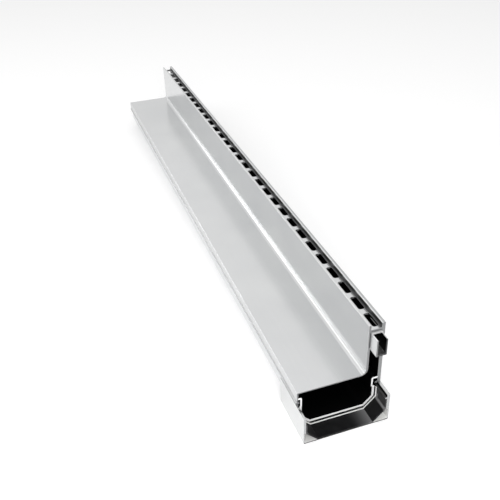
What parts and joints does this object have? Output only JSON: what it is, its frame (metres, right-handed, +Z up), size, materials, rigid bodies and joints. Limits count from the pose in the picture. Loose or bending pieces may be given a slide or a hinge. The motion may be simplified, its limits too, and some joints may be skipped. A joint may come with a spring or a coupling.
{
  "type": "slot channel drain",
  "caption": "Aluminium drain channel with an offset upright inlet slot over a bevelled trough, and a joiner with a rubber seal and a slot clip at one end.",
  "frame": {"origin": "middle of the whole part's footprint, on the ground under the joiner", "axes": "+X along the channel towards the end with the joiner, +Y across towards the side with the upright slot, +Z up out of the ground"},
  "size_m": [1.024, 0.1074, 0.1274],
  "materials": {
    "cover_aluminium": "satin mill finish, drawn along its length",
    "trough_aluminium": "satin mill finish, drawn along its length",
    "cradle_aluminium": "satin mill finish",
    "seal_rubber": "matt black rubber",
    "bead_rubber": "pale grey rubber",
    "clip_aluminium": "satin mill finish"
  },
  "bodies": {
    "root": {"slot_cover": "cover_aluminium", "channel_trough": "trough_aluminium", "joiner_cradle": "cradle_aluminium", "joiner_seal": "seal_rubber", "joint_bead": "bead_rubber", "slot_clip": "clip_aluminium"}
  },
  "joints": []
}
